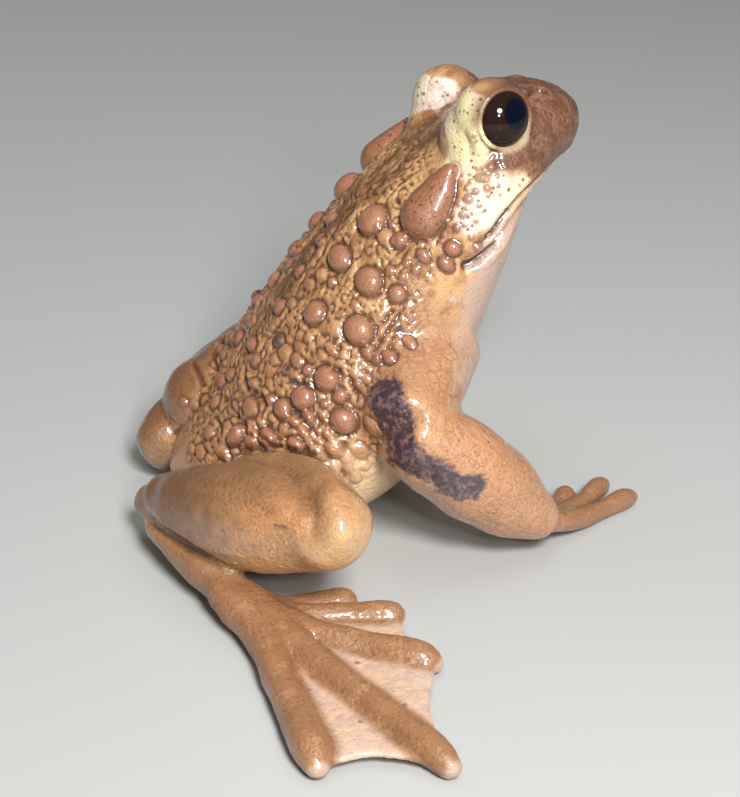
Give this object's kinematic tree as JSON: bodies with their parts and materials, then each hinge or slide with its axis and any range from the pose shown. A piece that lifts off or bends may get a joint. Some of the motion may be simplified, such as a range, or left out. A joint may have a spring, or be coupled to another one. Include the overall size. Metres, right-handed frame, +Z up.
{
  "type": "bullocks false toad, sitting, life-size museum model",
  "caption": "Life-size still model of a stout warty false toad, a wet-forest frog, sitting upright on broad webbed hind feet",
  "frame": {"origin": "on the floor, under the middle of the model's bounding box", "axes": "X forward, the way the head faces; Y to the animal's left; Z up"},
  "size_m": [0.0636, 0.113, 0.0549],
  "materials": {
    "skin": "wet, glossy, warty skin",
    "eye": "clear and glossy, near black"
  },
  "bodies": {
    "root": {"torso": "skin", "head": "skin", "eye_right": "eye", "eye_left": "eye", "upper_arm_right": "skin", "forearm_right": "skin", "hand_right": "skin", "thigh_right": "skin", "shank_right": "skin", "tarsus_right": "skin", "foot_right": "skin", "upper_arm_left": "skin", "forearm_left": "skin", "hand_left": "skin", "thigh_left": "skin", "shank_left": "skin", "tarsus_left": "skin", "foot_left": "skin"}
  },
  "joints": []
}
